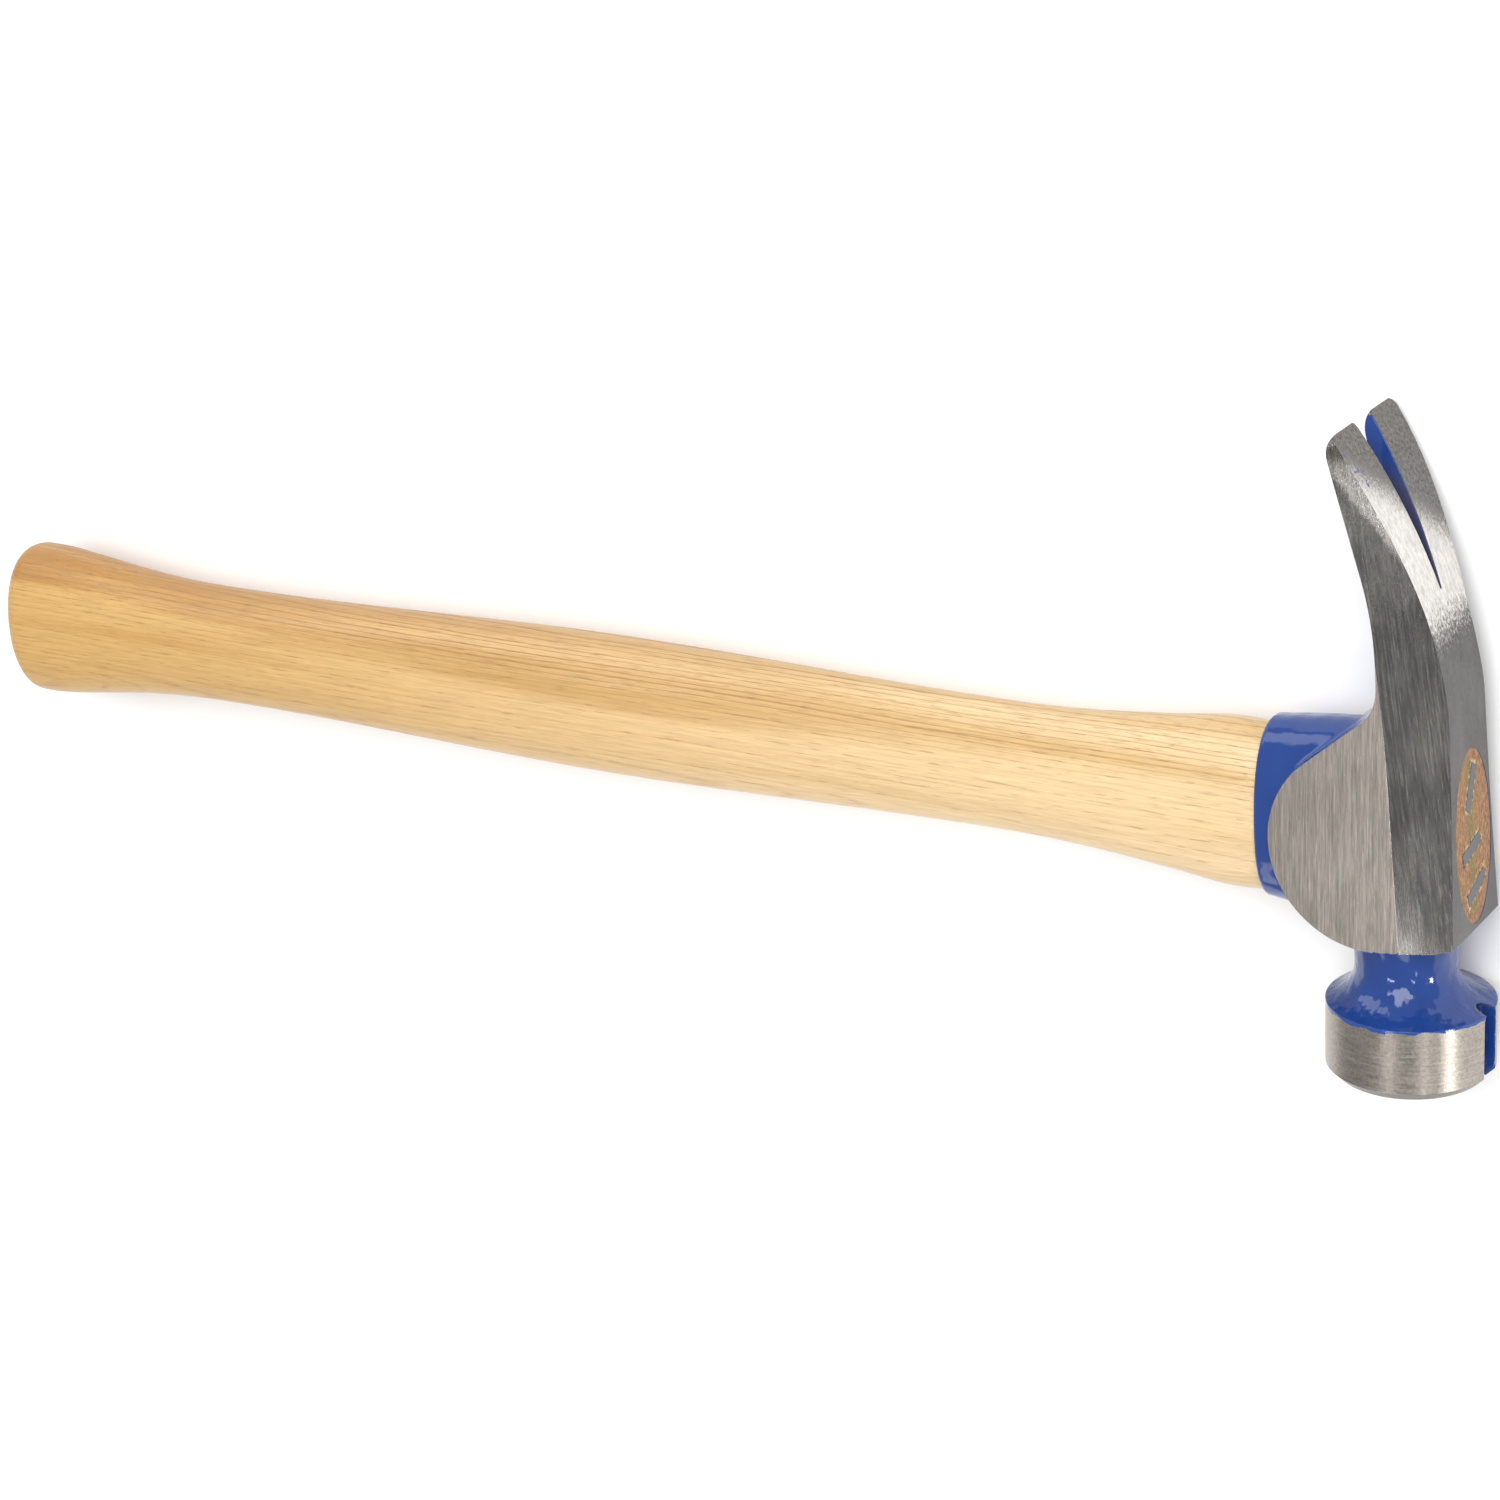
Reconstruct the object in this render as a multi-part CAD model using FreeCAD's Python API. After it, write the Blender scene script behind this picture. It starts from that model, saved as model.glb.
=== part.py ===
import FreeCAD, Part
import math
import os

# Claw hammer: a forged steel head on a hickory handle, wedged in the eye.
#
# It is drawn lying on its side. +X runs along the handle from the butt to the head's top
# face, +Y from the poll's striking face to the claw tips, and +Z out of one cheek.
# While it is drawn, the origin is where the handle's axis crosses the poll's axis. At the
# end every piece moves by one offset, so that the origin is under the middle of its box.

V = FreeCAD.Vector

# Overall sizes, in millimetres
overall_length = 406.4        # butt end to the top face, on the handle's axis
eye_to_face = 57.9            # handle axis to the striking face
eye_to_claw_tip = 92.4        # handle axis to the claw tips

# Head: body and cheeks
body_thickness = 31.0         # across the two flat cheeks
top_height = 13.8             # poll axis to the top face
top_tilt = 2.9                # degrees that the top face falls away towards the claws
top_face_end = 21.5           # handle axis to the poll end of the top face
body_bottom = 24.4            # handle axis to the body's end at the neck
bottom_rise = 1.6             # how much nearer that end is below the top face
bottom_slope_x = 10.5         # where the slope below the top face meets the body's end
cheek_radius = 23.8           # round edge of the flat cheek
cheek_centre = (-3.8, -0.6)
cheek_diagonal = 40.3         # degrees from +X of the cheek's straight edge below the claws
ledge_fillet = 1.8            # between the cheek's wall and the collar

# Head: bevels between the cheeks and the top face
crease_x_poll = 2.9           # cheek crease at the poll end of the body
crease_lean = 0.070           # how much it nears the handle for each mm towards the claws
crease_bend_start = 16.0
crease_bend_end = 42.0        # where the crease runs out into the claws' underside
top_waist_y = 40.0            # narrowest place of the top face
top_waist = 10.6              # its half width there
top_spread = 3.3              # how much wider the top face is at its poll end

# Head: claws
claw_bend_start = 28.5        # where the flat top face starts to curve down
claw_bend_radius = 60.0
claw_bend_end = 12.0          # degrees of slope at the end of the first, tighter bend
claw_tip_slope = 34.0         # degrees of slope at the tips, at the end of the long sweep
underside_x = -2.5            # claws' underside where it leaves the cheek
underside_land = 1.0          # straight run between the fillet and the underside's bend
underside_radius = 90.0
nose_length = 5.2             # length of the chisel nose at the tips
nose_drop = 0.8               # how far the nose starts below the tips' edge
claw_fillet = 10.0            # between the cheek's straight edge and the claws
tip_half_width = 17.0         # across the claws' outer face at the tips, halved
tip_outer_round = 3.0         # round corners of each tip, seen from above
tip_inner_round = 1.2
tip_flank = 0.3               # how much wider the tips are at the underside
outer_flare_start = 45.0
flank_flare_start = 50.0
slot_root_y = 56.0
slot_root_half = 0.4
slot_tip_half = 4.4
slot_land = 2.6               # straight part of the slot's wall at the tips
slot_bevel = 68.0             # degrees off that wall, nail bevel on the slot's underside

# Head: poll and neck
poll_radius = 19.0
poll_land = 17.25             # rim to striking face
face_chamfer = 2.1
neck_radius = 11.4
neck_offset = -1.2            # the neck sits a little towards the handle
neck_waist = 8.1              # body's end to where the neck starts to flare
neck_root_extra = 2.6         # how much wider the neck is at its root
neck_root_depth = 4.0         # how deep that root lies inside the body
flare_turn = 70.0             # how far the flare has turned outwards at the rim

# Head: nail-starting slot in the top of the poll, and its magnet
nail_slot_width = 6.4
nail_slot_shift = 0.5         # its middle is this far to the +Z side
nail_slot_depth = 3.6
nail_slot_end = 39.4          # handle axis to the slot's round end
magnet_radius = 2.9
magnet_thickness = 2.8
magnet_recess = 0.4

# Head: collar around the eye, and the eye itself
collar_length = 33.0          # poll axis to the collar's end
collar_half_height = 21.2
collar_half_thickness = 11.6
collar_root_extra = 2.6       # how much taller the collar is where it meets the body
collar_root_extra_z = 1.6
collar_rise = 0.6             # the collar's middle lies this far towards the claws
collar_fullness = 2.3         # 2 is an ellipse, more is squarer
collar_edge = 1.2
eye_top = (20.3, 10.4)        # half length and half width of the eye at the top face
eye_top_shift = -0.8          # its middle there is this far to the -Z side
eye_waist = (19.2, 9.6)
eye_waist_x = -12.0
eye_mouth = (19.6, 9.9)       # at the collar's end

# Handle
butt_half_height = 20.3
butt_half_thickness = 13.6
butt_round = 5.0
waist_half_height = 15.1      # slimmest part of the grip
waist_half_thickness = 12.0
swell_half_height = 17.4
swell_half_thickness = 12.5
throat_half_height = 15.4
throat_half_thickness = 11.0
shoulder_half_height = 20.1
shoulder_half_thickness = 10.6
shoulder_step = 0.25          # how far the wood stands out over the collar's end
shoulder_run = 9.0            # collar to the shoulder's fullest place
throat_run = 66.0             # collar to the throat
waist_run = 76.0              # butt to the grip's waist
knob_run = 6.0                # butt to the knob's fullest place
throat_ease = 0.65            # below 1 narrows early, near the shoulder
knob_ease = 1.6               # above 1 widens late, near the butt
handle_fullness = 2.15
wood_recess = 0.15            # end grain below the steel of the top face

# Wedges in the top of the handle
kerf_depth = 30.0
kerf_wedge_length = 27.0
kerf_wedge_width = 36.0
kerf_wedge_thick = 3.6
kerf_wedge_thin = 1.2
steel_wedge_length = 17.0
steel_wedge_width = 10.6
steel_wedge_thick = 3.0
steel_wedge_thin = 0.8
steel_wedge_proud = 0.1       # above the end grain
# Middle of each steel wedge's end (y, z) and its turn in degrees from the Z axis
steel_wedges = {
    "steel_wedge_upper": (11.2, -0.6, 64.0),
    "steel_wedge_middle": (-2.6, 0.3, 13.0),
    "steel_wedge_lower": (-12.3, -1.6, 20.0),
}

# Places that follow from the sizes above
half_body = body_thickness / 2
butt_x = top_height - overall_length
rim_y = poll_land - eye_to_face
neck_start_y = neck_root_depth - body_bottom
neck_waist_y = -body_bottom - neck_waist
far = 60.0                    # reach of cutting shapes past what they cut


def radians(degrees):
    return math.radians(degrees)


def smooth_step(start, end, value):
    """0 before start, 1 after end, and an even S between them."""
    t = min(max((value - start) / (end - start), 0.0), 1.0)
    return t * t * (3 - 2 * t)


def even_steps(start, end, count):
    """Evenly spaced places from start to end, both included."""
    return [start + (end - start) * step / (count - 1) for step in range(count)]


def line(a, b):
    return Part.makeLine(V(*a, 0), V(*b, 0))


def arc_about(centre, radius, start, end):
    """Arc in the XY plane about a centre, between two headings in radians."""
    middle = (start + end) / 2
    points = []
    for angle in (start, middle, end):
        points.append(V(centre[0] + radius * math.cos(angle),
                        centre[1] + radius * math.sin(angle), 0))
    return Part.Arc(*points).toShape()


def slab(wire, low, high):
    """Solid between two heights, from an outline in the XY plane."""
    face = Part.Face(wire)
    face.translate(V(0, 0, low))
    return face.extrude(V(0, 0, high - low))


def top_x(y):
    """Height of the flat top face's plane at a place along the head."""
    return top_height - y * math.tan(radians(top_tilt))


# --- outer face of the claws: the top face, a tight bend, then a long sweep ---
bend_from = radians(top_tilt)
bend_to = radians(claw_bend_end)
bend_centre = (top_x(claw_bend_start) - claw_bend_radius * math.cos(bend_from),
               claw_bend_start - claw_bend_radius * math.sin(bend_from))
bend_end_y = bend_centre[1] + claw_bend_radius * math.sin(bend_to)
bend_end_x = bend_centre[0] + claw_bend_radius * math.cos(bend_to)
sweep_end = radians(claw_tip_slope)
sweep_radius = (eye_to_claw_tip - bend_end_y) / (math.sin(sweep_end) - math.sin(bend_to))
sweep_centre = (bend_end_x - sweep_radius * math.cos(bend_to),
                bend_end_y - sweep_radius * math.sin(bend_to))
tip_x = sweep_centre[0] + sweep_radius * math.cos(sweep_end)


def outer_x(y):
    """The claws' outer face, seen from the cheek side."""
    if y < claw_bend_start:
        return top_x(y)
    if y < bend_end_y:
        return bend_centre[0] + math.sqrt(claw_bend_radius ** 2 - (y - bend_centre[1]) ** 2)
    return sweep_centre[0] + math.sqrt(sweep_radius ** 2 - (y - sweep_centre[1]) ** 2)


# --- straight edge of the cheek, and the corner that its fillet rounds below the claws ---
diagonal = radians(cheek_diagonal)
diagonal_start = (cheek_centre[0] - cheek_radius * math.sin(diagonal),
                  cheek_centre[1] + cheek_radius * math.cos(diagonal))
corner_y = diagonal_start[1] + (underside_x - diagonal_start[0]) * math.tan(diagonal)
fillet_run = claw_fillet * math.tan((radians(90) - diagonal) / 2)

# --- underside of the claws: straight, a bend, then straight to the nose ---
underside_bend_start = corner_y + fillet_run + underside_land
under_centre = (underside_x - underside_radius, underside_bend_start)
nose_x = tip_x - nose_drop
nose_y = eye_to_claw_tip - nose_length
nose_reach = math.hypot(nose_x - under_centre[0], nose_y - under_centre[1])
nose_heading = math.atan2(nose_y - under_centre[1], nose_x - under_centre[0])
slope = nose_heading - math.acos(underside_radius / nose_reach)
under_end_y = under_centre[1] + underside_radius * math.sin(slope)
under_end_x = under_centre[0] + underside_radius * math.cos(slope)


def under_x(y):
    """The claws' underside, seen from the cheek side, without the nose."""
    if y < underside_bend_start:
        return underside_x
    if y < under_end_y:
        return under_centre[0] + math.sqrt(underside_radius ** 2 - (y - under_centre[1]) ** 2)
    return under_end_x - (y - under_end_y) * math.tan(slope)


def top_half_width(y):
    """Half width of the top face and of the claws' outer face."""
    if y < top_waist_y:
        share = (top_waist_y - y) / (top_waist_y + top_face_end)
        return top_waist + top_spread * share ** 2
    flare = smooth_step(outer_flare_start, eye_to_claw_tip, y)
    return top_waist + (tip_half_width - top_waist) * flare


def crease(y):
    """Inner edge of the bevel, as its place along X and its half width."""
    bend = (y - crease_bend_start) / (crease_bend_end - crease_bend_start)
    straight = crease_x_poll - crease_lean * (y + top_face_end)
    if y < crease_bend_start:
        return straight, half_body
    if y < crease_bend_end:
        end = crease_x_poll - crease_lean * (crease_bend_end + top_face_end)
        return straight - (end - under_x(crease_bend_end)) * bend ** 2, half_body
    flare = smooth_step(flank_flare_start, eye_to_claw_tip, y)
    return under_x(y), half_body + (tip_half_width + tip_flank - half_body) * flare


def head_outline():
    """Outline of the body and the claws, seen from the cheek side."""
    fillet_low = (underside_x - fillet_run * math.cos(diagonal),
                  corner_y - fillet_run * math.sin(diagonal))
    fillet_high = (underside_x, corner_y + fillet_run)
    fillet_centre = (underside_x - claw_fillet, fillet_high[1])
    bottom_left = (cheek_centre[0], cheek_centre[1] - cheek_radius)
    bottom_right = (bottom_slope_x, bottom_rise - body_bottom)
    top_end = (top_x(-top_face_end), -top_face_end)
    top_start = (top_x(claw_bend_start), claw_bend_start)
    tip = (tip_x, eye_to_claw_tip)
    nose = (nose_x, nose_y)
    under_end = (under_end_x, under_end_y)
    under_start = (underside_x, underside_bend_start)
    nose_tangent = V(-math.sin(slope), math.cos(slope), 0)
    edges = [
        line(bottom_left, bottom_right),
        line(bottom_right, top_end),
        line(top_end, top_start),
        arc_about(bend_centre, claw_bend_radius, bend_from, bend_to),
        arc_about(sweep_centre, sweep_radius, bend_to, sweep_end),
        nose_arc(nose, nose_tangent, tip),
        line(nose, under_end),
        arc_about(under_centre, underside_radius, slope, 0),
        line(under_start, fillet_high),
        arc_about(fillet_centre, claw_fillet, 0, diagonal - radians(90)),
        line(fillet_low, diagonal_start),
        arc_about(cheek_centre, cheek_radius, diagonal + radians(90), radians(270)),
    ]
    return Part.Wire(Part.__sortEdges__(edges))


def nose_arc(start, tangent, end):
    """Arc that leaves start along tangent and ends at end."""
    chord = V(*end, 0) - V(*start, 0)
    half_turn = tangent.getAngle(chord)
    radius = chord.Length / (2 * math.sin(half_turn))
    inward = V(tangent.y, -tangent.x, 0)
    centre = V(*start, 0) + inward * radius
    towards_middle = (V(*start, 0) + chord * 0.5 - centre).normalize()
    return Part.Arc(V(*start, 0), centre + towards_middle * radius, V(*end, 0)).toShape()


def filleted_collar(body):
    """Rounds the inner corner between the cheeks' walls and the collar."""
    solid = body.Solids[0]
    least_height = 1.0
    least_length = 3.0
    corner = []
    for edge in solid.Edges:
        is_freeform = isinstance(edge.Curve, Part.BSplineCurve)
        box = edge.BoundBox
        if is_freeform and box.ZLength > least_height and box.XLength > least_length:
            corner.append(edge)
    return solid.makeFillet(ledge_fillet, corner)


def bevel_cutter():
    """Everything outside the bevel and the claws' flank, on the +Z side."""
    reach = 10.0
    wires = []
    for y in even_steps(-body_bottom - reach, eye_to_claw_tip + reach, 14):
        inner = V(crease(y)[0], y, crease(y)[1])
        outer = V(outer_x(y), y, top_half_width(y))
        along = (outer - inner).normalize()
        low = inner - along * reach
        high = outer + along * reach
        lift = V(0, 0, 2 * reach)
        wires.append(Part.makePolygon([low, high, high + lift, low + lift, low]))
    return Part.makeLoft(wires, True, False)


def slot_frame():
    """Root, inward direction and lengthwise direction of the nail slot in the claws."""
    root = V(outer_x(slot_root_y), slot_root_y, 0)
    tip = V(tip_x, eye_to_claw_tip, 0)
    length = (tip - root).Length
    lengthwise = (tip - root).normalize()
    inward = V(-lengthwise.y, lengthwise.x, 0)
    return root, inward, lengthwise, length


def slot_cutter():
    """V slot with straight walls, plus the nail bevel below them."""
    root, inward, lengthwise, length = slot_frame()
    widen = (slot_tip_half - slot_root_half) / length
    over = 15.0
    end_half = slot_root_half + widen * (length + over)
    start = root - inward * over
    end = start + lengthwise * (length + over)
    side = V(0, 0, 1)
    outline = [start - side * slot_root_half, end - side * end_half,
               end + side * end_half, start + side * slot_root_half]
    walls = Part.Face(Part.makePolygon(outline + outline[:1])).extrude(inward * far)
    return walls.fuse(nail_bevel(root, inward, lengthwise, length, widen))


def nail_bevel(root, inward, lengthwise, length, widen):
    """The slot's walls open at slot_bevel towards the underside, fading out at the root."""
    depth = 20.0
    past_tip = 6.0
    root_land = outer_x(slot_root_y) - under_x(slot_root_y)
    land_slope = (root_land - slot_land) / length
    spread = depth * math.tan(radians(slot_bevel))
    wires = []
    for along in (0.0, length + past_tip):
        half = slot_root_half + widen * along
        land = root_land - land_slope * along
        near = root + lengthwise * along + inward * land
        deep = near + inward * depth
        corners = [near - V(0, 0, half), deep - V(0, 0, half + spread),
                   deep + V(0, 0, half + spread), near + V(0, 0, half)]
        wires.append(Part.makePolygon(corners + corners[:1]))
    return Part.makeLoft(wires, True, True)


def oval(x, half_height, half_thickness, fullness, rise=0.0, shift=0.0, steps=24):
    """Closed superellipse in a plane across the handle."""
    points = []
    for step in range(steps):
        angle = 2 * math.pi * step / steps
        c = math.cos(angle)
        s = math.sin(angle)
        y = math.copysign(abs(c) ** (2 / fullness), c) * half_height + rise
        z = math.copysign(abs(s) ** (2 / fullness), s) * half_thickness + shift
        points.append(V(x, y, z))
    curve = Part.BSplineCurve()
    curve.interpolate(Points=points, PeriodicFlag=True)
    return Part.Wire(curve.toShape())


def collar():
    """The collar around the eye, growing into the body."""
    sections = []
    for x in even_steps(-collar_length, 0.0, 6):
        grow = math.sin(radians(90) * (x + collar_length) / collar_length)
        sections.append(oval(x,
                             collar_half_height + collar_root_extra * grow,
                             collar_half_thickness + collar_root_extra_z * grow,
                             collar_fullness, collar_rise))
    solid = Part.makeLoft(sections, True, False)
    rim = [edge for edge in solid.Edges if edge.BoundBox.XMax < -collar_length + 0.01]
    return solid.makeFillet(collar_edge, rim)


def eye():
    """The eye's hole, narrowest inside the body and wider at both ends."""
    over = 4.0
    sections = []
    for x in even_steps(-collar_length - over, top_height + over, 10):
        if x < eye_waist_x:
            end = eye_mouth
            shift = 0.0
            share = ((x - eye_waist_x) / (-collar_length - eye_waist_x)) ** 2
        else:
            end = eye_top
            share = ((x - eye_waist_x) / (top_height - eye_waist_x)) ** 2
            shift = eye_top_shift * share
        size = [waist + (wide - waist) * share for waist, wide in zip(eye_waist, end)]
        sections.append(oval(x, size[0], size[1], 2.0, shift=shift))
    return Part.makeLoft(sections, True, False)


def neck_and_poll():
    """Neck that flares into the round poll, with the face's chamfer."""
    down = V(0, -1, 0)
    rings = []
    for y in even_steps(neck_start_y, neck_waist_y, 5):
        above = (y - neck_waist_y) / (neck_start_y - neck_waist_y)
        rings.append((y, neck_radius + neck_root_extra * above ** 2, neck_offset))
    for turn in even_steps(0, radians(flare_turn), 8)[1:]:
        along = math.sin(turn) / math.sin(radians(flare_turn))
        out = (1 - math.cos(turn)) / (1 - math.cos(radians(flare_turn)))
        rings.append((neck_waist_y + (rim_y - neck_waist_y) * along,
                      neck_radius + (poll_radius - neck_radius) * out,
                      neck_offset * (1 - out)))
    sections = [Part.Wire(Part.makeCircle(radius, V(shift, y, 0), down))
                for y, radius, shift in rings]
    neck = Part.makeLoft(sections, True, False)
    poll = Part.makeCylinder(poll_radius, poll_land, V(0, rim_y, 0), down)
    face_edge = [edge for edge in poll.Edges if edge.BoundBox.YMax < -eye_to_face + 0.01]
    poll = poll.makeChamfer(face_chamfer, face_edge)
    return neck.fuse(poll)


def nail_slot():
    """Channel for a nail's shank in the top of the poll, with a pocket for the magnet."""
    half = nail_slot_width / 2
    floor = poll_radius - nail_slot_depth
    end_y = -nail_slot_end - half
    length = eye_to_face + end_y + 1
    channel = Part.makeBox(far, length, nail_slot_width,
                           V(floor, end_y - length, nail_slot_shift - half))
    end = Part.makeCylinder(half, far, V(floor, end_y, nail_slot_shift), V(1, 0, 0))
    pocket_depth = magnet_thickness + magnet_recess
    pocket = Part.makeCylinder(magnet_radius, pocket_depth + 1,
                               V(floor - pocket_depth, end_y, nail_slot_shift), V(1, 0, 0))
    return channel.fuse([end, pocket])


def tip_corner(z, inwards, radius):
    """What a round corner takes off a claw tip, seen along the handle.

    z is the corner's place and inwards is the side of it, +1 or -1, where the steel is.
    """
    over = 5.0
    middle = V(-far, eye_to_claw_tip - radius, z + inwards * radius)
    low_z = min(middle.z, z - inwards * over)
    block = Part.makeBox(2 * far, radius + over, radius + over, V(-far, middle.y, low_z))
    return block.cut(Part.makeCylinder(radius, 2 * far, middle, V(1, 0, 0)))


def hammer_head():
    """The forging: body, claws, collar, neck and poll, then everything ground or cut away."""
    outline = head_outline()
    body = filleted_collar(slab(outline, -half_body, half_body).fuse(collar()))
    claw_stock = tip_half_width + 2 * tip_flank
    claws = slab(outline, -claw_stock, claw_stock)
    claw_side = Part.makeBox(2 * far, 2 * far, 4 * far, V(-far, crease_bend_end, -2 * far))
    body = body.fuse(claws.common(claw_side))
    cutter = bevel_cutter()
    mirrored = cutter.mirror(V(0, 0, 0), V(0, 0, 1))
    head = body.cut([cutter, mirrored]).fuse(neck_and_poll())
    for side in (1, -1):
        outer = tip_corner(side * (tip_half_width + tip_flank), -side, tip_outer_round)
        inner = tip_corner(side * slot_tip_half, side, tip_inner_round)
        head = head.cut([outer, inner])
    head = head.cut([slot_cutter(), eye(), nail_slot()])
    return head.removeSplitter()


def wedge(width, thick, thin, length, top, overlap=0.0):
    """Tapered wedge that points down the handle, its width along Z."""
    wires = []
    for x, thickness in ((top + overlap, thick + (thick - thin) * overlap / length),
                         (top - length, thin)):
        y = thickness / 2
        z = width / 2
        corners = [V(x, -y, -z), V(x, y, -z), V(x, y, z), V(x, -y, z)]
        wires.append(Part.makePolygon(corners + corners[:1]))
    return Part.makeLoft(wires, True, True)


def below_top(recess):
    """Everything under the top face's plane, less a recess."""
    high = (top_x(far) - recess, far)
    low = (top_x(-far) - recess, -far)
    corners = [low, high, (butt_x - far, far), (butt_x - far, -far)]
    wire = Part.makePolygon([V(*point, 0) for point in corners + corners[:1]])
    return slab(wire, -far, far)


def steel_wedge(name):
    y, z, turn = steel_wedges[name]
    rough = wedge(steel_wedge_width, steel_wedge_thick, steel_wedge_thin,
                  steel_wedge_length, top_x(y), overlap=2.0)
    rough.rotate(V(0, 0, 0), V(1, 0, 0), turn)
    rough.translate(V(0, y, z))
    return rough.common(below_top(wood_recess - steel_wedge_proud))


def kerf_shape(length, thick):
    """The wooden wedge, or with an even thickness the saw cut that it was driven into."""
    rough = wedge(kerf_wedge_width, thick, kerf_wedge_thin, length, top_height, overlap=4.0)
    rough.rotate(V(0, 0, 0), V(1, 0, 0), 90)
    return rough.common(below_top(wood_recess)).common(eye())


def grip_size(x):
    """Half height and half thickness of the grip at a place along it.

    The grip runs from one fullest or slimmest place to the next in an even S, which the
    ease of each stretch makes steeper near its start (below 1) or near its end (above 1).
    """
    shoulder_x = -collar_length - shoulder_run
    throat_x = -collar_length - throat_run
    waist_x = butt_x + waist_run
    swell_x = (throat_x + waist_x) / 2
    places = [
        (shoulder_x, shoulder_half_height, shoulder_half_thickness, 1.0),
        (throat_x, throat_half_height, throat_half_thickness, throat_ease),
        (swell_x, swell_half_height, swell_half_thickness, 1.0),
        (waist_x, waist_half_height, waist_half_thickness, 1.0),
        (butt_x + knob_run, butt_half_height, butt_half_thickness, knob_ease),
    ]
    before = (-collar_length, eye_mouth[0] + shoulder_step, eye_mouth[1] + shoulder_step)
    for place, height, thickness, ease in places:
        if x >= place:
            share = smooth_step(0, 1, ((before[0] - x) / (before[0] - place)) ** ease)
            return (before[1] + (height - before[1]) * share,
                    before[2] + (thickness - before[2]) * share)
        before = (place, height, thickness)
    return before[1], before[2]


def grip():
    """The handle outside the head, from the collar to the butt."""
    sections = []
    for x in even_steps(-collar_length, butt_x, 42):
        height, thickness = grip_size(x)
        squareness = smooth_step(0, shoulder_run, -collar_length - x)
        fullness = 2.0 + (handle_fullness - 2.0) * squareness
        sections.append(oval(x, height, thickness, fullness))
    solid = Part.makeLoft(sections, True, False)
    end = [edge for edge in solid.Edges if edge.BoundBox.XMax < butt_x + 0.1]
    return solid.makeFillet(butt_round, end)


def handle():
    overlap = 1.0
    above_grip = Part.makeBox(2 * far, 2 * far, 2 * far, V(-collar_length - overlap, -far, -far))
    tenon = eye().common(below_top(wood_recess)).common(above_grip)
    body = grip().fuse(tenon)
    saw_cut = kerf_shape(kerf_depth, kerf_wedge_thin)
    body = body.cut([saw_cut, kerf_shape(kerf_wedge_length, kerf_wedge_thick)])
    return body.cut([steel_wedge(name) for name in steel_wedges])


def kerf_wedge():
    solid = kerf_shape(kerf_wedge_length, kerf_wedge_thick)
    return solid.cut([steel_wedge(name) for name in steel_wedges])


def nail_magnet():
    floor = poll_radius - nail_slot_depth
    end_y = -nail_slot_end - nail_slot_width / 2
    low = floor - magnet_recess - magnet_thickness
    return Part.makeCylinder(magnet_radius, magnet_thickness,
                             V(low, end_y, nail_slot_shift), V(1, 0, 0))


pieces = {
    "hammer_head": hammer_head(),
    "handle": handle(),
    "kerf_wedge": kerf_wedge(),
    "nail_magnet": nail_magnet(),
}
for wedge_name in steel_wedges:
    pieces[wedge_name] = steel_wedge(wedge_name)

box = Part.makeCompound(list(pieces.values())).optimalBoundingBox()
offset = V(-box.Center.x, -box.Center.y, -box.ZMin)

os.makedirs("parts", exist_ok=True)
for node, shape in pieces.items():
    shape.translate(offset)
    print(node, shape.ShapeType, len(shape.Solids), "solid(s)", round(shape.Volume / 1000, 2),
          "cm3", "valid" if shape.isValid() else "NOT VALID")
    shape.exportStep("parts/" + node + ".step")
print("offset", offset, "size", box.XLength, box.YLength, box.ZLength)
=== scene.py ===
"""Looks of the claw hammer: materials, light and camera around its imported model."""

import math

import bpy
from mathutils import Matrix, Vector

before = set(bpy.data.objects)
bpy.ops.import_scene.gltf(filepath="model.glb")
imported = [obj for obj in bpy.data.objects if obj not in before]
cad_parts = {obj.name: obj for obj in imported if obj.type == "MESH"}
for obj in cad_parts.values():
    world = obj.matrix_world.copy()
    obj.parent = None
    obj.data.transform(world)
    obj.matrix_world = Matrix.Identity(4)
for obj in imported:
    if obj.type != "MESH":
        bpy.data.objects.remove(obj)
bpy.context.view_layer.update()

# The materials measure in millimetres from where the handle's axis crosses the poll's axis:
# +X to the head's top face, +Y to the claw tips, +Z out of the upper cheek.
ORIGIN = Vector((0.18685, -0.01725, 0.019))
MM = 0.001

# Sizes of the head that its finishes follow, in millimetres and degrees
HALF_BODY = 15.5
POLL_RADIUS = 19.0
RIM_Y = -40.65
FACE_Y = -57.9
FACE_CHAMFER = 2.1
TIP_Y = 92.4
TOP_X = 13.8                   # height of the top face at y = 0
TOP_LEAN = 2.9
SWEEP_RADIUS = 155.2           # claws' outer face, about (SWEEP_X, SWEEP_Y)
SWEEP_X = -140.7
SWEEP_Y = 5.6
BODY_END_Y = -24.4             # body's flat end at the neck, at the height BODY_END_X
BODY_END_X = -3.8
BODY_END_LEAN = 0.112
NAIL_SLOT_Z = 0.5              # middle of the nail-starting slot
NAIL_SLOT_HALF = 3.2

# Steel wedges' ends: middle (y, z) and turn in degrees from the Z axis, then half sizes
STEEL_WEDGES = ((11.2, -0.6, 64.0), (-2.6, 0.3, 13.0), (-12.3, -1.6, 20.0))
WEDGE_HALF_WIDTH = 5.3
WEDGE_HALF_THICK = 1.5

# Places that the lights face, in metres
HEAD = (0.186, -0.02, 0.02)
MIDDLE = (0.0, 0.0, 0.0)


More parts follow.
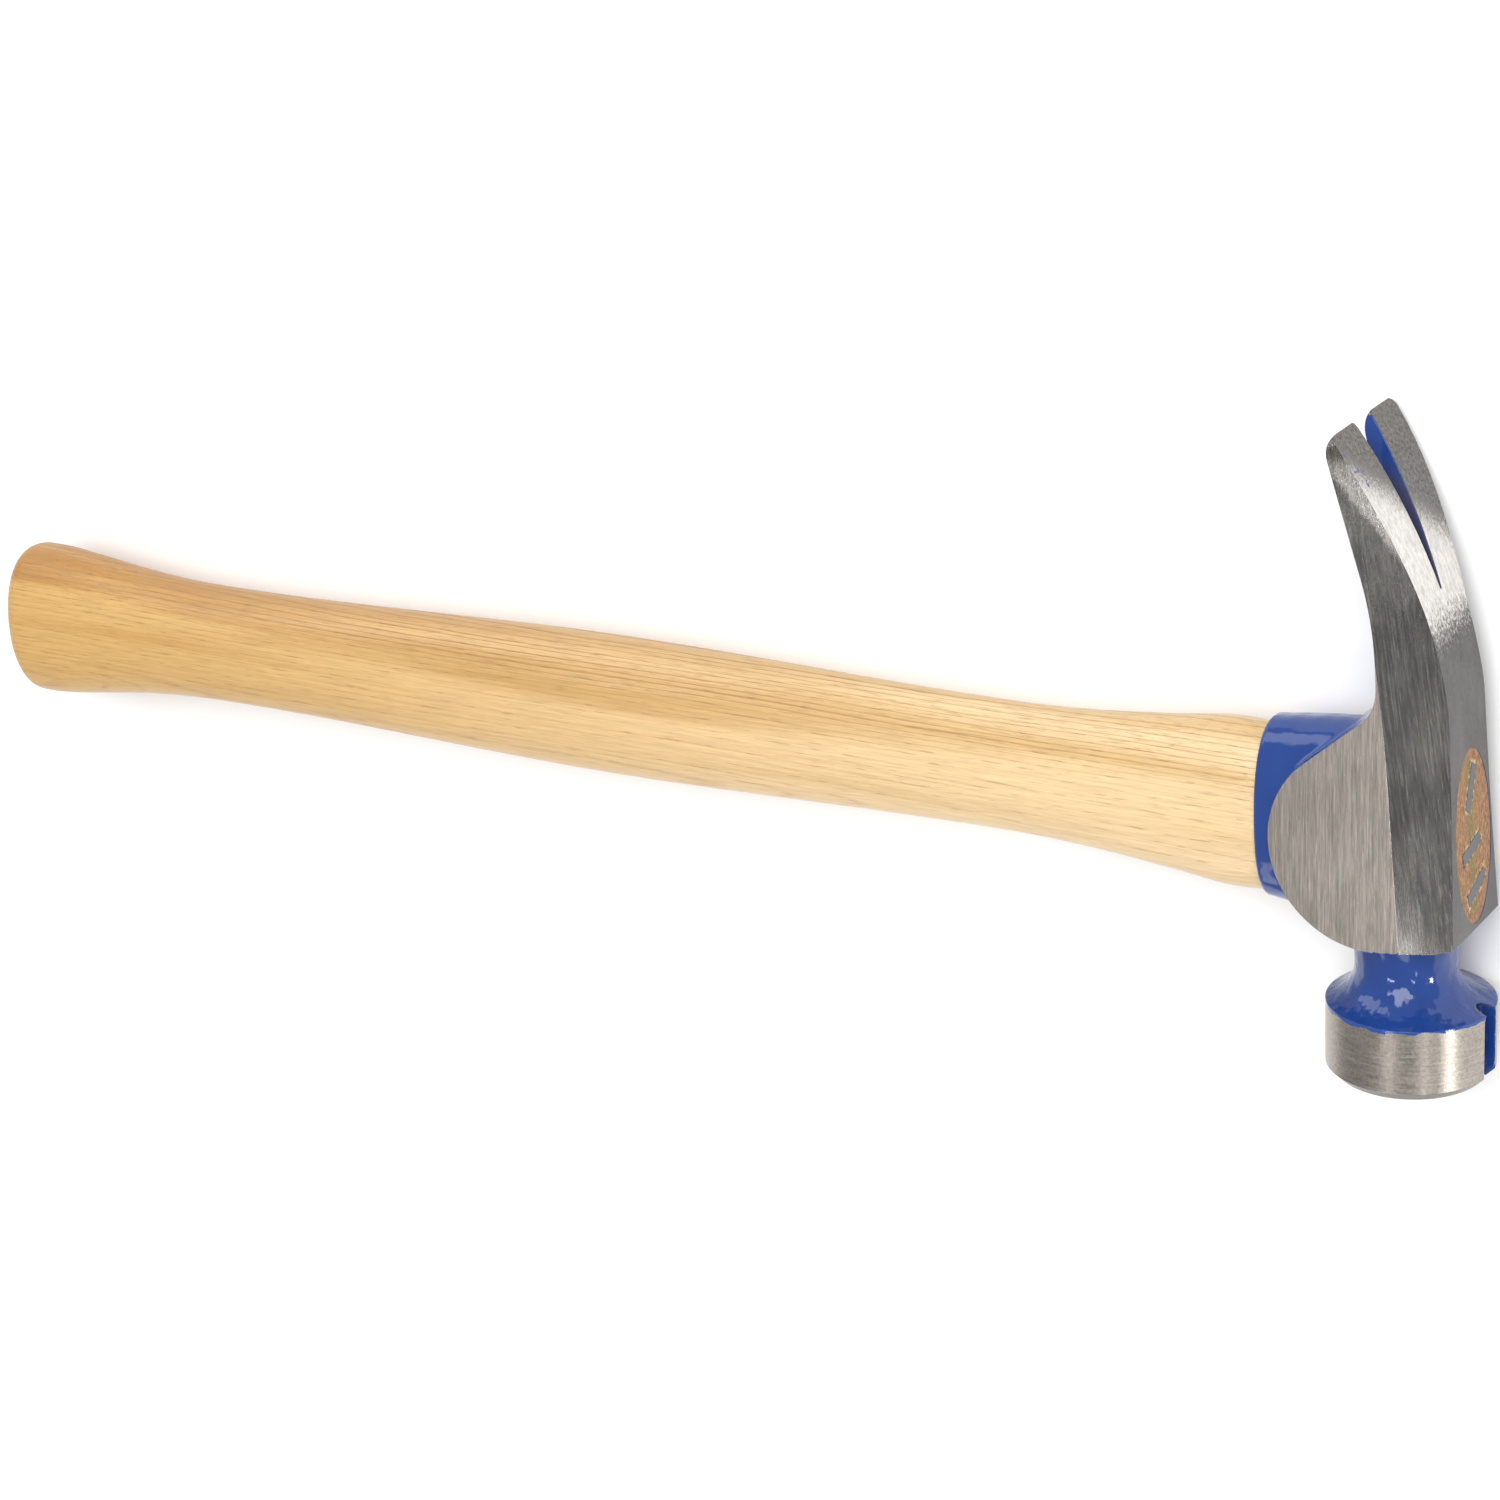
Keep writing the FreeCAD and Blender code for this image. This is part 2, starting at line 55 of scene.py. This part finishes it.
class Signal:
    """A number in a material's node tree, so that formulas read as plain arithmetic."""

    def __init__(self, graph, socket):
        self.graph = graph
        self.socket = socket

    def __add__(self, other):
        return self.graph.math("ADD", self, other)

    def __radd__(self, other):
        return self.graph.math("ADD", other, self)

    def __sub__(self, other):
        return self.graph.math("SUBTRACT", self, other)

    def __rsub__(self, other):
        return self.graph.math("SUBTRACT", other, self)

    def __mul__(self, other):
        return self.graph.math("MULTIPLY", self, other)

    def __rmul__(self, other):
        return self.graph.math("MULTIPLY", other, self)

    def __truediv__(self, other):
        return self.graph.math("DIVIDE", self, other)

    def __abs__(self):
        return self.graph.math("ABSOLUTE", self)


class Graph:
    """A material whose Principled shader is fed by small formulas."""

    def __init__(self, name, **fixed):
        self.material = bpy.data.materials.new(name)
        self.material.use_nodes = True
        self.tree = self.material.node_tree
        self.shader = self.tree.nodes["Principled BSDF"]
        for socket, value in fixed.items():
            self.shader.inputs[socket.replace("_", " ").title()].default_value = value

    def put(self, socket, value):
        """Sets a socket to a plain value, or links a signal or colour to it."""
        if isinstance(value, Signal):
            self.tree.links.new(value.socket, socket)
        elif isinstance(value, bpy.types.NodeSocket):
            self.tree.links.new(value, socket)
        elif isinstance(value, tuple) and len(value) == 3 and socket.type == "RGBA":
            socket.default_value = (*value, 1.0)
        else:
            socket.default_value = value

    def math(self, operation, a, b=None):
        node = self.tree.nodes.new("ShaderNodeMath")
        node.operation = operation
        for socket, value in zip(node.inputs, (a, b)):
            if value is not None:
                self.put(socket, value)
        return Signal(self, node.outputs[0])

    def low(self, a, b):
        return self.math("MINIMUM", a, b)

    def high(self, a, b):
        return self.math("MAXIMUM", a, b)

    def step(self, start, end, value):
        """0 at start and 1 at end, smooth between them. end may be below start."""
        node = self.tree.nodes.new("ShaderNodeMapRange")
        node.interpolation_type = "SMOOTHSTEP"
        self.put(node.inputs["Value"], value)
        low, high = (start, end) if start < end else (end, start)
        self.put(node.inputs["From Min"], low)
        self.put(node.inputs["From Max"], high)
        if end < start:
            node.inputs["To Min"].default_value = 1.0
            node.inputs["To Max"].default_value = 0.0
        return Signal(self, node.outputs["Result"])

    def band(self, low, high, edge, value):
        """1 between low and high, fading to 0 over edge outside them."""
        return self.step(low - edge, low, value) * self.step(high + edge, high, value)

    def blend(self, share, a, b):
        """Number between a and b."""
        node = self.tree.nodes.new("ShaderNodeMix")
        for name, value in (("Factor", share), ("A", a), ("B", b)):
            self.put(node.inputs[name], value)
        return Signal(self, node.outputs["Result"])

    def colour(self, share, a, b):
        """Colour between a and b, each a tuple or another colour."""
        node = self.tree.nodes.new("ShaderNodeMix")
        node.data_type = "RGBA"
        # the node's sockets for colours: 0 is the share, 6 and 7 are a and b, 2 is the result
        for socket, value in ((0, share), (6, a), (7, b)):
            self.put(node.inputs[socket], value)
        return node.outputs[2]

    def scale(self, colour, factor):
        """A colour made lighter or darker by a signal."""
        node = self.tree.nodes.new("ShaderNodeVectorMath")
        node.operation = "SCALE"
        self.put(node.inputs[0], colour)
        self.put(node.inputs["Scale"], factor)
        return node.outputs[0]

    def place(self):
        """Where on the hammer, in millimetres from ORIGIN, as three signals."""
        coordinates = self.tree.nodes.new("ShaderNodeTexCoord").outputs["Object"]
        split = self.tree.nodes.new("ShaderNodeSeparateXYZ")
        self.tree.links.new(coordinates, split.inputs[0])
        return [(Signal(self, split.outputs[axis]) - ORIGIN[axis]) / MM for axis in range(3)]

    def vector(self, x, y, z):
        node = self.tree.nodes.new("ShaderNodeCombineXYZ")
        for socket, value in zip(node.inputs, (x, y, z)):
            self.put(socket, value)
        return node.outputs[0]

    def noise(self, x, y, z, detail=2.0, roughness=0.5):
        """Smooth noise from 0 to 1 at a place whose coordinates already hold its scale."""
        node = self.tree.nodes.new("ShaderNodeTexNoise")
        self.put(node.inputs["Vector"], self.vector(x, y, z))
        node.inputs["Scale"].default_value = 1.0
        node.inputs["Detail"].default_value = detail
        node.inputs["Roughness"].default_value = roughness
        return Signal(self, node.outputs["Fac"])

    def contrast(self, value):
        """Noise stretched over the whole range from 0 to 1."""
        return self.step(0.28, 0.72, value)

    def sweep(self, y):
        """Height of the claws' outer face, on its long sweep."""
        along = y - SWEEP_Y
        return self.math("SQRT", SWEEP_RADIUS ** 2 - along * along) + SWEEP_X

    def soft_edges(self, radius):
        """Normal that rounds the sharp edges of the mesh."""
        node = self.tree.nodes.new("ShaderNodeBevel")
        node.samples = 6
        node.inputs["Radius"].default_value = radius
        return node.outputs[0]

    def bump(self, height, depth, normal=None):
        """Normal bent by a height from 0 to 1 that stands for depth millimetres."""
        node = self.tree.nodes.new("ShaderNodeBump")
        node.inputs["Distance"].default_value = depth * MM
        self.put(node.inputs["Height"], height)
        if normal is not None:
            self.put(node.inputs["Normal"], normal)
        return node.outputs[0]

    def finish(self, colour, roughness, normal, metallic=None):
        self.put(self.shader.inputs["Base Color"], colour)
        self.put(self.shader.inputs["Roughness"], roughness)
        self.put(self.shader.inputs["Normal"], normal)
        if metallic is not None:
            self.put(self.shader.inputs["Metallic"], metallic)
        return self.material


# --- the head: which finish each face of the forging has ---

def outer_face(y):
    """Height of the top face and the claws' outer face."""
    plane = TOP_X - y * math.tan(math.radians(TOP_LEAN))
    sweep = math.sqrt(SWEEP_RADIUS ** 2 - (y - SWEEP_Y) ** 2) + SWEEP_X
    return min(plane, sweep)


def smooth(start, end, value):
    """0 before start, 1 after end, and an even S between them."""
    share = min(max((value - start) / (end - start), 0.0), 1.0)
    return share * share * (3 - 2 * share)


def half_width(x, y):
    """Half width of the body and claws at their bevels and flanks."""
    slimmest = 10.6
    poll_spread = 3.3 * max((40.0 - y) / 61.5, 0.0) ** 2
    tip_spread = 6.4 * smooth(45.0, TIP_Y, y)
    at_top = slimmest + poll_spread + tip_spread
    at_foot = HALF_BODY + 1.8 * smooth(50.0, TIP_Y, y)
    crease = 1.4 - 0.07 * y if y < 42.0 else -2.5 - 0.25 * max(y - 52.0, 0.0)
    share = min(max((x - crease) / (outer_face(y) - crease), 0.0), 1.0)
    return at_foot + (at_top - at_foot) * share


def body_end(x):
    """Where the body ends at the neck: its flat end, or the slope under the top face."""
    flat_end = BODY_END_Y + (x - BODY_END_X) * BODY_END_LEAN
    slope = -22.8 + (x - 10.5) * 0.3
    return max(flat_end, slope)


def finish_at(centre, normal):
    """Name of the finish of a face of the head, from its middle and its normal."""
    x, y, z = (centre - ORIGIN) / MM
    outward = normal.z * math.copysign(1.0, z)
    from_poll_axis = math.hypot(x, z)

    if y < RIM_Y:
        beside_slot = abs(z - NAIL_SLOT_Z) < NAIL_SLOT_HALF + 0.05 and x > 10.0
        below_rim = from_poll_axis < POLL_RADIUS - 0.1 or abs(normal.x) > 0.99
        if beside_slot and normal.y > -0.5 and below_rim:
            return "enamel"
        return "striking_face" if normal.y < -0.99 else "poll_steel"

    on_neck = from_poll_axis < 13.0 and y < -22.0
    if y < body_end(x) - 0.03 or on_neck:
        return "enamel"
    if outward > 0.999 and abs(z) > HALF_BODY - 0.05:
        return "cheek_steel"
    if outer_face(y) - x < 0.35 and normal.x > 0.5 and abs(outward) < 0.2:
        return "top_steel"

    on_slope = x > 10.4 and y < -21.0
    on_nose = y > 87.0 and normal.y > 0.1
    on_bevel = outward > 0.3 and abs(z) > half_width(x, y) - 0.6
    if on_slope or on_nose or on_bevel:
        return "bevel_steel"
    return "enamel"


# --- the head: its finishes ---

CHEEK_TINT = (1.0, 0.90, 0.80)
STEEL_TINT = (1.0, 0.96, 0.915)
RUST = (1.0, 0.80, 0.60)
ENAMEL_DEEP = (0.010, 0.035, 0.165)
ENAMEL_BRIGHT = (0.015, 0.054, 0.240)
# painted reflection on the enamel walls of the claws' slot
SLOT_REFLECTION_GREY = (0.060, 0.060, 0.100)
EDGE = 0.15 * MM               # radius of the ground edges


def enamel_colour(g, x, y, z):
    """Deep blue, a little uneven where it ran thick."""
    return g.colour(g.noise(x * 0.12, y * 0.12, z * 0.12), ENAMEL_DEEP, ENAMEL_BRIGHT)


def enamel():
    """Glossy enamel with runs on the neck, and a painted grey reflection deep in the claws'
    slot.
    """
    g = Graph("enamel")
    x, y, z = g.place()
    thick = g.noise(x * 0.13, y * 0.13, z * 0.13, detail=1.0)
    runs = g.noise(x * 0.42, y * 0.30, z * 0.42, detail=1.0)
    on_neck = g.step(-26.0, -34.0, y)
    normal = g.bump(thick + runs * (0.08 + on_neck * 0.30), 0.7, g.soft_edges(4.0 * EDGE))
    # painted reflection: the enamel of the slot's walls turns grey deep in the claws
    slot_reflection = g.step(86.0, 74.0, y) * g.step(48.0, 50.0, y) * g.step(5.0, 2.5, abs(z))
    colour = g.colour(slot_reflection * 0.85, enamel_colour(g, x, y, z), SLOT_REFLECTION_GREY)
    return g.finish(colour, 0.07 + thick * 0.05, normal)


def cheek_steel():
    """Flat ground cheeks, with the belt's lines along the head."""
    g = Graph("cheek_steel")
    x, y, z = g.place()
    brush = g.contrast(g.noise(x * 1.7, y * 0.07, z, detail=4.0, roughness=0.8))
    patches = g.noise(x * 0.09, y * 0.06, z, detail=3.0)
    scratches = g.step(0.64, 0.72, g.noise(x * 3.4, y * 0.16, z, detail=1.0))
    tone = 0.64 * (0.70 + brush * 0.52) * (0.88 + patches * 0.24) + scratches * 0.14

    # enamel creeps over the cheek's edge at the neck
    before_neck = y - BODY_END_Y - 0.2 - (x - BODY_END_X) * BODY_END_LEAN
    ragged = g.noise(x * 0.5, y * 0.5, z * 0.5, detail=3.0) - 0.5
    paint = g.step(0.1, -0.1, before_neck + ragged * 1.6)
    colour = g.colour(paint, g.scale(CHEEK_TINT, tone), ENAMEL_BRIGHT)
    roughness = g.blend(paint, 0.16 + brush * 0.05, 0.12)
    normal = g.bump(brush, 0.005, g.soft_edges(EDGE))
    return g.finish(colour, roughness, normal, metallic=1.0 - paint)


def bevel_steel():
    """Bevels and the claws' flanks: ground steel in a painted darker shade, with slanted lines,
    scratches and scuffs.
    """
    g = Graph("bevel_steel", metallic=1.0)
    x, y, z = g.place()
    slant = x + y * 0.14
    lines = g.contrast(g.noise(slant * 1.6, y * 0.08, z * 1.3, detail=4.0, roughness=0.8))
    patches = g.contrast(g.noise(x * 0.09, y * 0.05, z * 0.09, detail=3.0))
    scratches = g.step(0.62, 0.70, g.noise(slant * 3.2, y * 0.18, z * 2.6, detail=1.0))
    scuffs = g.step(0.58, 0.72, g.noise(x * 0.35, y * 0.25, z * 0.35, detail=4.0, roughness=0.7))
    grit = g.contrast(g.noise(x * 1.8, y * 1.2, z * 1.8, detail=3.0, roughness=0.7))
    # painted shade: the same ground steel as the cheeks, given a much darker tone
    tone = 0.225 * (0.66 + lines * 0.50) * (0.78 + patches * 0.40) + scratches * 0.10

    # painted highlight along the flank's upper edge, standing for its rounding, brighter towards
    # the tips
    below = g.sweep(y) - x
    flank_highlight = g.step(0.8, -0.8, below - (y - 64.0) * 0.24 + (grit - 0.5) * 1.6)
    tone = tone + flank_highlight * g.band(66.0, 85.0, 4.0, y) * (0.22 + grit * 0.25)
    grime = g.step(76.0, 92.0, y) * grit
    tint = g.colour(g.high(grime * 0.5, scuffs * 0.35), STEEL_TINT, RUST)
    tone = tone * (0.78 + (1.0 - scuffs * 0.15) * g.step(45.0, 15.0, y) * 0.22)
    rough_ground = lines * 0.3 + grit * g.step(40.0, 60.0, y)
    normal = g.bump(rough_ground, 0.035, g.soft_edges(EDGE))
    return g.finish(g.scale(tint, tone), 0.22 + lines * 0.08, normal)


def top_steel():
    """Top face and the claws' outer face in a painted darker shade, with a painted reflection of
    a lamp where the claws bend down.
    """
    g = Graph("top_steel")
    x, y, z = g.place()
    lines = g.contrast(g.noise(x, y * 0.05, z * 1.1, detail=4.0, roughness=0.7))
    patches = g.contrast(g.noise(x * 0.09, y * 0.06, z * 0.12, detail=3.0))
    grit = g.contrast(g.noise(x * 1.8, y * 1.0, z * 1.5, detail=3.0, roughness=0.75))
    edge = (grit - 0.5) * 7.0
    # painted reflection: a bright band with mottled edges where the claws bend down
    lamp_reflection = g.step(45.0, 54.0, y + edge) * g.step(78.0, 68.0, y + edge - z * 0.7)
    # painted shade: the top face and tips get a much darker tone than the cheeks' same steel
    shaded_top = 0.105 * (0.42 + lines * 0.50 + patches * 0.36 + grit * 0.36)
    tips = 0.145 * (0.45 + grit * 1.1)
    tone = g.blend(g.step(60.0, 72.0, y), shaded_top, tips)
    tone = g.blend(lamp_reflection, tone, 0.46 + lines * 0.26 + grit * 0.12)
    grime = g.step(78.0, 91.0, y) * grit
    tint = g.colour(grime * 0.5, STEEL_TINT, RUST)
    specks = g.step(0.62, 0.67, g.noise(x * 0.9, y * 0.9, z * 0.9, detail=2.0))
    specks = specks * g.band(81.0, 89.0, 2.0, y) * g.step(9.0, 13.0, z)
    colour = g.colour(specks, g.scale(tint, tone), ENAMEL_BRIGHT)
    normal = g.bump(lines * 0.3 + grit * g.step(30.0, 60.0, y), 0.035, g.soft_edges(EDGE))
    return g.finish(colour, 0.30 + lines * 0.12, normal, metallic=1.0 - specks)


def poll_steel():
    """The poll's turned side and its chamfer darkened in painted shade, with the enamel's ragged
    edge at its rim.
    """
    g = Graph("poll_steel")
    x, y, z = g.place()
    angle = g.math("ARCTAN2", z, x)
    around = angle * POLL_RADIUS
    turned = g.contrast(g.noise(around * 0.12, y * 1.6, 0.0, detail=3.0, roughness=0.7))
    grit = g.contrast(g.noise(x * 1.6, y * 1.6, z * 1.6, detail=3.0, roughness=0.75))
    patches = g.noise(x * 0.10, y * 0.10, z * 0.10, detail=3.0)
    tone = 0.35 * (0.64 + turned * 0.28 + grit * 0.38) * (0.88 + patches * 0.24)
    # painted shade: the chamfer's tone is cut to less than half
    shaded_chamfer = g.step(FACE_Y + FACE_CHAMFER + 0.1, FACE_Y + FACE_CHAMFER - 0.1, y)
    tone = tone * g.blend(shaded_chamfer, 1.0, 0.45)
    ragged = g.noise(around * 0.22, y * 0.3, 0.0, detail=3.0) - 0.5
    paint = g.step(-0.1, 0.1, y - RIM_Y + 0.55 + ragged * 2.6)
    colour = g.colour(paint, g.scale(CHEEK_TINT, tone), ENAMEL_BRIGHT)
    roughness = g.blend(paint, 0.30 + turned * 0.10, 0.10)
    normal = g.bump(turned * 0.5 + grit * 0.5, 0.016, g.soft_edges(EDGE))
    return g.finish(colour, roughness, normal, metallic=1.0 - paint)


def striking_face():
    """The poll's flat face, with fine turning rings."""
    g = Graph("striking_face", metallic=1.0)
    x, y, z = g.place()
    radius = g.math("SQRT", x * x + z * z)
    rings = g.contrast(g.noise(radius * 2.2, y * 2.0, 0.0, detail=3.0, roughness=0.6))
    grit = g.noise(x * 1.2, y * 1.2, z * 1.2, detail=4.0, roughness=0.7)
    tone = 0.40 * (0.72 + rings * 0.30 + grit * 0.2)
    normal = g.bump(rings, 0.012, g.soft_edges(EDGE))
    return g.finish(g.scale(STEEL_TINT, tone), 0.26 + rings * 0.14, normal)


def finish_head():
    """Gives the head its six finishes, face by face."""
    finishes = [enamel(), cheek_steel(), bevel_steel(), top_steel(), poll_steel(),
                striking_face()]
    slots = {finish.name: index for index, finish in enumerate(finishes)}
    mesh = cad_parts["hammer_head"].data
    mesh.materials.clear()
    for finish in finishes:
        mesh.materials.append(finish)
    for polygon in mesh.polygons:
        polygon.material_index = slots[finish_at(polygon.center, polygon.normal)]


# --- the handle ---

def wedge_distance(g, y, z, middle_y, middle_z, turn):
    """Distance in millimetres to the outline of a steel wedge's end, 0 inside it."""
    c = math.cos(math.radians(turn))
    s = math.sin(math.radians(turn))
    dy = y - middle_y
    dz = z - middle_z
    across = abs(dy * c + dz * s) - WEDGE_HALF_THICK
    along = abs(dz * c - dy * s) - WEDGE_HALF_WIDTH
    return g.high(g.high(across, along), 0.0)


def around_wedges(g, x, y, z, wood):
    """Wood with pale torn fibres and a few gaps around the steel wedges painted in shade."""
    nearest = 99.0
    for middle_y, middle_z, turn in STEEL_WEDGES:
        nearest = g.low(nearest, wedge_distance(g, y, z, middle_y, middle_z, turn))
    torn = g.noise(x * 0.9, y * 0.9, z * 0.9, detail=3.0, roughness=0.7)
    chips = g.step(1.3, 0.6, nearest + g.step(0.40, 0.58, torn) * 2.2)
    # painted shade: near-black spots standing for open gaps beside the wedges
    gap_shade = g.step(0.7, 0.3, nearest) * g.step(0.56, 0.62, torn)
    wood = g.colour(chips, wood, (0.74, 0.58, 0.33))
    return g.colour(gap_shade, wood, (0.03, 0.02, 0.015))


def hickory():
    """Lacquered wood of the handle, with rings, pores and bare end grain in the eye."""
    g = Graph("hickory", coat_weight=0.12, coat_roughness=0.25)
    x, y, z = g.place()

    # growth rings about a pith line that runs beside the handle, a little askew
    drift = g.noise(x * 0.004, y * 0.015, z * 0.015, detail=1.0) - 0.5
    ripple = g.noise(x * 0.012, y * 0.12, z * 0.12, detail=3.0) - 0.5
    pith_y = -34.0
    pith_z = 24.0
    from_pith_y = y - pith_y + x * 0.020 + drift * 12.0
    from_pith_z = z - pith_z
    radius = g.math("SQRT", from_pith_y * from_pith_y + from_pith_z * from_pith_z)
    radius = radius + ripple * 2.0
    uneven = g.noise(radius * 0.35, 0.0, 0.0, detail=2.0)
    ring_width = 1.45
    year = g.math("FRACT", radius / ring_width + uneven * 2.2)
    early = g.step(0.0, 0.08, year) * g.step(0.40, 0.12, year)
    quartered = g.step(36.0, 45.0, radius)
    fade = g.noise(x * 0.012, y * 0.25, z * 0.25, detail=3.0)
    ring = early * (0.18 + quartered * 0.60) * (0.40 + fade * 1.5)
    ring = ring * g.blend(g.step(-220.0, -60.0, x), 1.0, 0.6)

    # fine fibres, dark pores and broad paler or browner bands
    fibre = g.contrast(g.noise(x * 0.07, y * 1.7, z * 1.7, detail=3.0, roughness=0.7))
    pore_field = g.noise(x * 0.17, y * 2.6, z * 2.6, detail=2.0)
    pores = g.step(0.55, 0.66, pore_field) * (0.22 + early * 0.5 + quartered * 0.25)
    bands = g.noise(x * 0.004, y * 0.09, z * 0.09, detail=2.0)
    tone = g.step(0.35, 0.65, bands - quartered * 0.22 + 0.16)

    pale = g.colour(tone, (0.54, 0.36, 0.155), (0.67, 0.490, 0.270))
    golden = g.colour(tone, (0.38, 0.180, 0.034), (0.54, 0.325, 0.110))
    wood = g.colour(g.step(-60.0, -400.0, x + drift * 90.0), pale, golden)
    wood = g.colour(ring, wood, (0.36, 0.185, 0.050))
    wood = g.colour(pores * 0.7, wood, (0.27, 0.125, 0.035))
    wood = g.scale(wood, 0.90 + fibre * 0.19)

    # bare end grain in the eye
    in_eye = g.step(5.0, 9.0, x)
    stubble = g.contrast(g.noise(x * 1.3, y * 0.7, z * 1.6, detail=4.0, roughness=0.8))
    end_grain = g.colour(stubble, (0.22, 0.085, 0.030), (0.62, 0.35, 0.160))
    wood = g.colour(in_eye, wood, around_wedges(g, x, y, z, end_grain))

    roughness = g.blend(in_eye, 0.42 + ring * 0.12, 0.85)
    normal = g.bump((fibre * 0.6 + pores * -0.8 - ring * 0.6) * (1.0 - in_eye), 0.03)
    normal = g.bump(stubble * in_eye, 0.35, normal)
    return g.finish(wood, roughness, normal)


def poplar():
    """Greenish end grain of the wooden wedge."""
    g = Graph("poplar")
    x, y, z = g.place()
    stubble = g.contrast(g.noise(x * 1.3, y * 0.9, z * 2.0, detail=4.0, roughness=0.8))
    greenish = g.colour(stubble, (0.25, 0.175, 0.065), (0.50, 0.38, 0.17))
    return g.finish(around_wedges(g, x, y, z, greenish), 0.85, g.bump(stubble, 0.4))


def wedge_steel():
    """Plain ground steel with small dark specks."""
    g = Graph("wedge_steel", metallic=1.0)
    x, y, z = g.place()
    brush = g.noise(x * 2.0, y * 0.3, z * 2.4, detail=4.0, roughness=0.7)
    specks = g.step(0.62, 0.70, g.noise(x * 1.4, y * 1.4, z * 1.4, detail=3.0))
    colour = g.colour(specks * 0.5, (0.150, 0.152, 0.158), (0.10, 0.09, 0.085))
    colour = g.scale(colour, 0.75 + brush * 0.5)
    normal = g.bump(brush, 0.015, g.soft_edges(0.3 * MM))
    return g.finish(colour, 0.40 + brush * 0.1, normal)


def magnet():
    """Dark nickel plate."""
    g = Graph("magnet", metallic=1.0)
    x, y, z = g.place()
    grain = g.noise(x * 1.5, y * 1.5, z * 1.5, detail=4.0, roughness=0.7)
    colour = g.colour(grain, (0.05, 0.055, 0.07), (0.14, 0.15, 0.17))
    return g.finish(colour, 0.35 + grain * 0.2, g.bump(grain, 0.03, g.soft_edges(0.3 * MM)))


finish_head()
wedge_finish = wedge_steel()
finishes = {
    "handle": hickory(),
    "kerf_wedge": poplar(),
    "steel_wedge_upper": wedge_finish,
    "steel_wedge_middle": wedge_finish,
    "steel_wedge_lower": wedge_finish,
    "nail_magnet": magnet(),
}
for node, finish in finishes.items():
    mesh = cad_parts[node].data
    mesh.materials.clear()
    mesh.materials.append(finish)


# --- floor, light and camera ---

def pale_floor():
    """Plain matt square that the hammer lies on."""
    mesh = bpy.data.meshes.new("floor")
    reach = 4.0
    corners = [(-reach, -reach, 0), (reach, -reach, 0), (reach, reach, 0), (-reach, reach, 0)]
    mesh.from_pydata(corners, [], [(0, 1, 2, 3)])
    floor = bpy.data.objects.new("floor", mesh)
    bpy.context.scene.collection.objects.link(floor)
    material = bpy.data.materials.new("floor_paper")
    material.use_nodes = True
    shader = material.node_tree.nodes["Principled BSDF"]
    shader.inputs["Base Color"].default_value = (0.92, 0.92, 0.92, 1.0)
    shader.inputs["Roughness"].default_value = 0.9
    shader.inputs["Specular IOR Level"].default_value = 0.1
    mesh.materials.append(material)


def softbox(name, aim, direction, distance, size, watts):
    """Rectangular area light that faces aim from a direction."""
    light = bpy.data.lights.new(name, "AREA")
    light.shape = "RECTANGLE"
    light.size, light.size_y = size
    light.energy = watts
    lamp = bpy.data.objects.new(name, light)
    away = Vector(direction).normalized()
    lamp.matrix_world = (Matrix.Translation(Vector(aim) + away * distance)
                         @ away.to_track_quat("Z", "Y").to_matrix().to_4x4())
    bpy.context.scene.collection.objects.link(lamp)


def camera():
    """The viewpoint, as a place and the directions to the frame's right and top."""
    data = bpy.data.cameras.new("camera")
    data.lens = 93.06
    data.sensor_width = 36.0
    data.clip_start = 0.05
    viewer = bpy.data.objects.new("camera", data)
    right = Vector((0.85991, -0.05403, -0.50757))
    up = Vector((-0.13668, 0.93369, -0.33096))
    turn = Matrix((right, up, right.cross(up))).transposed().to_4x4()
    viewer.matrix_world = Matrix.Translation((0.47769, 0.30733, 0.76324)) @ turn
    bpy.context.scene.collection.objects.link(viewer)
    bpy.context.scene.camera = viewer


pale_floor()
softbox("overhead", MIDDLE, (0.25, 0.45, 0.86), 1.8, (1.4, 1.4), 34.0)
softbox("left", MIDDLE, (-0.60, 0.75, 0.35), 1.8, (1.2, 0.8), 7.0)
softbox("front", MIDDLE, (0.0, -0.90, 0.45), 1.8, (1.6, 0.8), 8.0)
softbox("poll_left", HEAD, (-0.12, -0.41, 0.91), 1.2, (0.10, 0.15), 0.65)
softbox("poll_top", HEAD, (0.58, -0.43, 0.69), 1.2, (0.30, 0.10), 0.8)
softbox("poll_right", HEAD, (0.875, -0.42, 0.25), 1.2, (0.10, 0.15), 2.4)

world = bpy.data.worlds.new("studio")
world.use_nodes = True
world.node_tree.nodes["Background"].inputs["Color"].default_value = (1.0, 1.0, 1.0, 1.0)
world.node_tree.nodes["Background"].inputs["Strength"].default_value = 0.5
bpy.context.scene.world = world
bpy.context.scene.view_settings.view_transform = "Standard"
camera()
